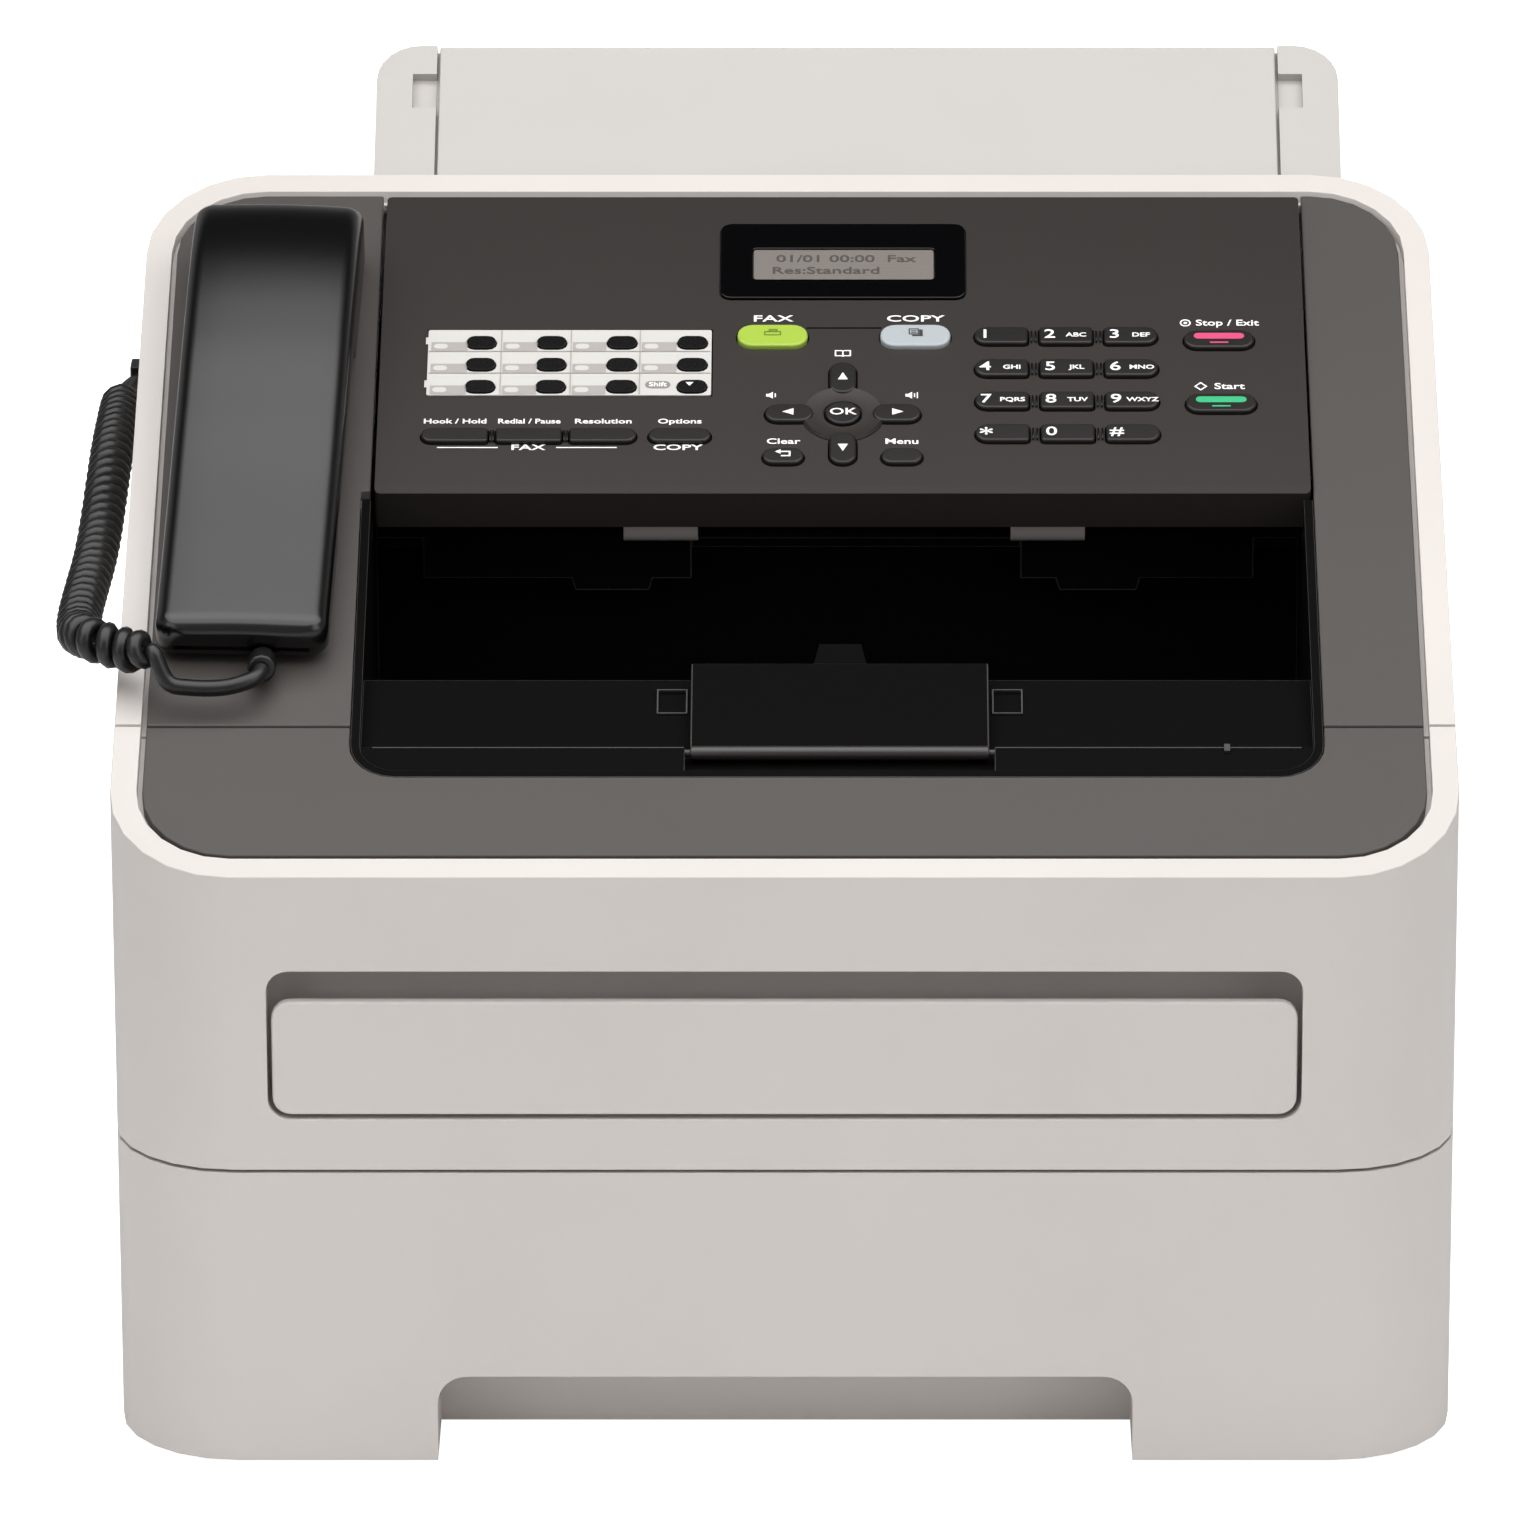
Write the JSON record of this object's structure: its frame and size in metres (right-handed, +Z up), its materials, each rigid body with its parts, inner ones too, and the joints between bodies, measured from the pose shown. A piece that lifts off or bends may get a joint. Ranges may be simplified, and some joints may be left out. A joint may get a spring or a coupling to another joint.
{
  "type": "desktop laser fax machine with corded handset",
  "caption": "Desktop laser fax machine with sloped control panel, keypad, corded handset, output tray, front cover and pull-out paper cassette.",
  "frame": {"origin": "centre of the bounding box footprint on the resting surface, measured without the handset cord", "axes": "+X to the right seen from the front, +Y to the back, +Z up"},
  "size_m": [0.3864, 0.362, 0.301],
  "materials": {
    "white_plastic": "fine satin",
    "support_plastic": "fine satin",
    "dark_plastic": "fine texture",
    "panel_plastic": "satin",
    "black_plastic": "satin",
    "gloss_black": "gloss",
    "lcd_screen": "smooth",
    "label_paper": "matt sheet",
    "key_black": "satin",
    "key_lime": "satin",
    "key_pale": "satin",
    "rubber_black": "matt",
    "roller_grey": "matt",
    "steel_plate": "plain",
    "toner_plastic": "satin"
  },
  "bodies": {
    "main": {"base_frame": "white_plastic", "foot_front_left": "rubber_black", "foot_front_right": "rubber_black", "foot_back_left": "rubber_black", "foot_back_right": "rubber_black", "top_housing": "white_plastic", "handset_cradle": "dark_plastic", "right_trim": "dark_plastic", "output_tray": "black_plastic", "document_exit_guide": "black_plastic", "document_tray": "support_plastic", "toner_drum_unit": "toner_plastic", "cord_lead": "rubber_black", "cord_coil": "rubber_black", "cord_tail": "rubber_black", "cord_plug": "black_plastic"},
    "cassette": {"paper_cassette": "white_plastic"},
    "lift": {"lift_plate": "steel_plate"},
    "front": {"front_cover": "white_plastic", "front_top_plate": "dark_plastic"},
    "feed": {"manual_feed_cover": "white_plastic"},
    "stop_flap": {"output_flap": "black_plastic"},
    "roller": {"exit_roller": "roller_grey"},
    "panel": {"control_panel": "panel_plastic", "lcd_bezel": "gloss_black", "lcd_glass": "lcd_screen", "label_sheet": "label_paper"},
    "touch_mat": {"one_touch_keys": "key_black"},
    "flap": {"support_flap": "support_plastic"},
    "receiver": {"handset": "black_plastic", "cord_boot": "rubber_black"},
    "hook": {"hook_switch": "black_plastic"},
    "back": {"rear_cover": "white_plastic"},
    "key_1_body": {"key_1": "key_black"},
    "key_2_body": {"key_2": "key_black"},
    "key_3_body": {"key_3": "key_black"},
    "key_4_body": {"key_4": "key_black"},
    "key_5_body": {"key_5": "key_black"},
    "key_6_body": {"key_6": "key_black"},
    "key_7_body": {"key_7": "key_black"},
    "key_8_body": {"key_8": "key_black"},
    "key_9_body": {"key_9": "key_black"},
    "key_star_body": {"key_star": "key_black"},
    "key_0_body": {"key_0": "key_black"},
    "key_hash_body": {"key_hash": "key_black"},
    "key_hook_body": {"key_hook": "key_black"},
    "key_redial_body": {"key_redial": "key_black"},
    "key_resolution_body": {"key_resolution": "key_black"},
    "key_options_body": {"key_options": "key_black"},
    "key_fax_body": {"key_fax": "key_lime"},
    "key_copy_body": {"key_copy": "key_pale"},
    "key_left_body": {"key_left": "key_black"},
    "key_right_body": {"key_right": "key_black"},
    "key_up_body": {"key_up": "key_black"},
    "key_down_body": {"key_down": "key_black"},
    "key_ok_body": {"key_ok": "key_black"},
    "key_clear_body": {"key_clear": "key_black"},
    "key_menu_body": {"key_menu": "key_black"},
    "key_stop_body": {"key_stop": "key_black"},
    "key_start_body": {"key_start": "key_black"}
  },
  "joints": [
    {"name": "cassette_slide", "type": "slide", "parent": "main", "child": "cassette", "axis": [0, -1, 0], "range_m": [0, 0.25]},
    {"name": "lift_hinge", "type": "hinge", "parent": "cassette", "child": "lift", "pos_m": [0, 0.0465, 0.0105], "axis": [-1, 0, 0], "range_deg": [0, 7]},
    {"name": "front_cover_hinge", "type": "hinge", "parent": "main", "child": "front", "pos_m": [0, -0.181, 0.0874], "axis": [1, 0, 0], "range_deg": [0, 80]},
    {"name": "manual_feed_hinge", "type": "hinge", "parent": "front", "child": "feed", "pos_m": [0, -0.1807, 0.1035], "axis": [1, 0, 0], "range_deg": [0, 85]},
    {"name": "output_flap_hinge", "type": "hinge", "parent": "main", "child": "stop_flap", "pos_m": [0.015, -0.12938, 0.18963], "axis": [1, 0, 0], "range_deg": [0, 115]},
    {"name": "exit_roller_spin", "type": "hinge", "parent": "main", "child": "roller", "pos_m": [0.015, -0.013, 0.2155], "axis": [1, 0, 0], "continuous": true},
    {"name": "control_panel_hinge", "type": "hinge", "parent": "main", "child": "panel", "pos_m": [0.01575, 0.09297, 0.27116], "axis": [-1, 0, 0], "range_deg": [0, 40]},
    {"name": "support_flap_hinge", "type": "hinge", "parent": "main", "child": "flap", "pos_m": [0.02, 0.165, 0.301], "axis": [-1, 0, 0], "range_deg": [0, 160]},
    {"name": "handset_lift", "type": "slide", "parent": "main", "child": "receiver", "axis": [0, 0, 1], "range_m": [0, 0.06]},
    {"name": "hook_switch_slide", "type": "slide", "parent": "main", "child": "hook", "axis": [0, 0.3502, -0.9367], "range_m": [0, 0.0015], "stiffness_N_per_m": 60, "springref_m": -0.001},
    {"name": "rear_cover_hinge", "type": "hinge", "parent": "main", "child": "back", "pos_m": [0, 0.181, 0.111], "axis": [-1, 0, 0], "range_deg": [0, 80]},
    {"name": "one_touch_press", "type": "slide", "parent": "panel", "child": "touch_mat", "axis": [0, 0.3502, -0.9367], "range_m": [0, 0.001], "stiffness_N_per_m": 250, "springref_m": -0.001},
    {"name": "key_1_press", "type": "slide", "parent": "panel", "child": "key_1_body", "axis": [0, 0.3502, -0.9367], "range_m": [0, 0.001], "stiffness_N_per_m": 100, "springref_m": -0.001},
    {"name": "key_2_press", "type": "slide", "parent": "panel", "child": "key_2_body", "axis": [0, 0.3502, -0.9367], "range_m": [0, 0.001], "stiffness_N_per_m": 100, "springref_m": -0.001},
    {"name": "key_3_press", "type": "slide", "parent": "panel", "child": "key_3_body", "axis": [0, 0.3502, -0.9367], "range_m": [0, 0.001], "stiffness_N_per_m": 100, "springref_m": -0.001},
    {"name": "key_4_press", "type": "slide", "parent": "panel", "child": "key_4_body", "axis": [0, 0.3502, -0.9367], "range_m": [0, 0.001], "stiffness_N_per_m": 100, "springref_m": -0.001},
    {"name": "key_5_press", "type": "slide", "parent": "panel", "child": "key_5_body", "axis": [0, 0.3502, -0.9367], "range_m": [0, 0.001], "stiffness_N_per_m": 100, "springref_m": -0.001},
    {"name": "key_6_press", "type": "slide", "parent": "panel", "child": "key_6_body", "axis": [0, 0.3502, -0.9367], "range_m": [0, 0.001], "stiffness_N_per_m": 100, "springref_m": -0.001},
    {"name": "key_7_press", "type": "slide", "parent": "panel", "child": "key_7_body", "axis": [0, 0.3502, -0.9367], "range_m": [0, 0.001], "stiffness_N_per_m": 100, "springref_m": -0.001},
    {"name": "key_8_press", "type": "slide", "parent": "panel", "child": "key_8_body", "axis": [0, 0.3502, -0.9367], "range_m": [0, 0.001], "stiffness_N_per_m": 100, "springref_m": -0.001},
    {"name": "key_9_press", "type": "slide", "parent": "panel", "child": "key_9_body", "axis": [0, 0.3502, -0.9367], "range_m": [0, 0.001], "stiffness_N_per_m": 100, "springref_m": -0.001},
    {"name": "key_star_press", "type": "slide", "parent": "panel", "child": "key_star_body", "axis": [0, 0.3502, -0.9367], "range_m": [0, 0.001], "stiffness_N_per_m": 100, "springref_m": -0.001},
    {"name": "key_0_press", "type": "slide", "parent": "panel", "child": "key_0_body", "axis": [0, 0.3502, -0.9367], "range_m": [0, 0.001], "stiffness_N_per_m": 100, "springref_m": -0.001},
    {"name": "key_hash_press", "type": "slide", "parent": "panel", "child": "key_hash_body", "axis": [0, 0.3502, -0.9367], "range_m": [0, 0.001], "stiffness_N_per_m": 100, "springref_m": -0.001},
    {"name": "key_hook_press", "type": "slide", "parent": "panel", "child": "key_hook_body", "axis": [0, 0.3502, -0.9367], "range_m": [0, 0.001], "stiffness_N_per_m": 100, "springref_m": -0.001},
    {"name": "key_redial_press", "type": "slide", "parent": "panel", "child": "key_redial_body", "axis": [0, 0.3502, -0.9367], "range_m": [0, 0.001], "stiffness_N_per_m": 100, "springref_m": -0.001},
    {"name": "key_resolution_press", "type": "slide", "parent": "panel", "child": "key_resolution_body", "axis": [0, 0.3502, -0.9367], "range_m": [0, 0.001], "stiffness_N_per_m": 100, "springref_m": -0.001},
    {"name": "key_options_press", "type": "slide", "parent": "panel", "child": "key_options_body", "axis": [0, 0.3502, -0.9367], "range_m": [0, 0.001], "stiffness_N_per_m": 100, "springref_m": -0.001},
    {"name": "key_fax_press", "type": "slide", "parent": "panel", "child": "key_fax_body", "axis": [0, 0.3502, -0.9367], "range_m": [0, 0.001], "stiffness_N_per_m": 100, "springref_m": -0.001},
    {"name": "key_copy_press", "type": "slide", "parent": "panel", "child": "key_copy_body", "axis": [0, 0.3502, -0.9367], "range_m": [0, 0.001], "stiffness_N_per_m": 100, "springref_m": -0.001},
    {"name": "key_left_press", "type": "slide", "parent": "panel", "child": "key_left_body", "axis": [0, 0.3502, -0.9367], "range_m": [0, 0.001], "stiffness_N_per_m": 100, "springref_m": -0.001},
    {"name": "key_right_press", "type": "slide", "parent": "panel", "child": "key_right_body", "axis": [0, 0.3502, -0.9367], "range_m": [0, 0.001], "stiffness_N_per_m": 100, "springref_m": -0.001},
    {"name": "key_up_press", "type": "slide", "parent": "panel", "child": "key_up_body", "axis": [0, 0.3502, -0.9367], "range_m": [0, 0.001], "stiffness_N_per_m": 100, "springref_m": -0.001},
    {"name": "key_down_press", "type": "slide", "parent": "panel", "child": "key_down_body", "axis": [0, 0.3502, -0.9367], "range_m": [0, 0.001], "stiffness_N_per_m": 100, "springref_m": -0.001},
    {"name": "key_ok_press", "type": "slide", "parent": "panel", "child": "key_ok_body", "axis": [0, 0.3502, -0.9367], "range_m": [0, 0.001], "stiffness_N_per_m": 100, "springref_m": -0.001},
    {"name": "key_clear_press", "type": "slide", "parent": "panel", "child": "key_clear_body", "axis": [0, 0.3502, -0.9367], "range_m": [0, 0.001], "stiffness_N_per_m": 100, "springref_m": -0.001},
    {"name": "key_menu_press", "type": "slide", "parent": "panel", "child": "key_menu_body", "axis": [0, 0.3502, -0.9367], "range_m": [0, 0.001], "stiffness_N_per_m": 100, "springref_m": -0.001},
    {"name": "key_stop_press", "type": "slide", "parent": "panel", "child": "key_stop_body", "axis": [0, 0.3502, -0.9367], "range_m": [0, 0.001], "stiffness_N_per_m": 100, "springref_m": -0.001},
    {"name": "key_start_press", "type": "slide", "parent": "panel", "child": "key_start_body", "axis": [0, 0.3502, -0.9367], "range_m": [0, 0.001], "stiffness_N_per_m": 100, "springref_m": -0.001}
  ]
}
